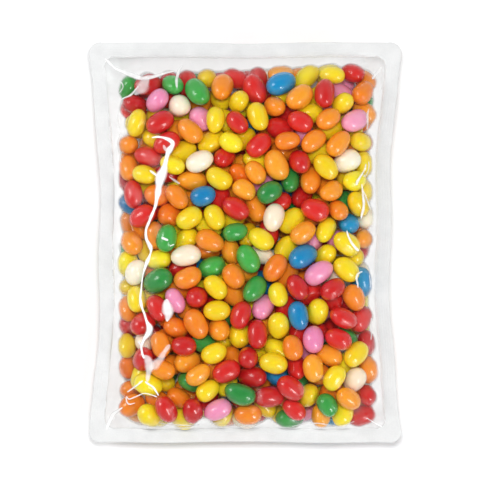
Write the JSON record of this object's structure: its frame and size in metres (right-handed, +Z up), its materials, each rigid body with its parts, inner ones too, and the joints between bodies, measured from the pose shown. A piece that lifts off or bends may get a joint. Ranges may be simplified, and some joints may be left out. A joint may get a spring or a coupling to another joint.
{
  "type": "bag of jelly beans",
  "caption": "Clear flat pouch, heat-sealed on all four sides and packed with jelly beans, lying on its back with the film drawn tight over them.",
  "frame": {"origin": "on the flat underside, below the middle of the pouch", "axes": "+Z up out of the shown face, +Y towards the pouch's top end, +X to the right as the shown face is seen"},
  "size_m": [0.1894, 0.243, 0.0434],
  "materials": {
    "bag_film": "clear glossy film drawn over sweets of seven colours",
    "heat_seal": "frosted, finely ribbed heat seal",
    "yellow_shell": "polished sugar shell",
    "orange_shell": "polished sugar shell",
    "red_shell": "polished sugar shell",
    "green_shell": "polished sugar shell",
    "white_shell": "polished sugar shell",
    "pink_shell": "polished sugar shell",
    "blue_shell": "polished sugar shell"
  },
  "bodies": {
    "root": {"jelly_bean_bag": "bag_film"}
  },
  "joints": []
}
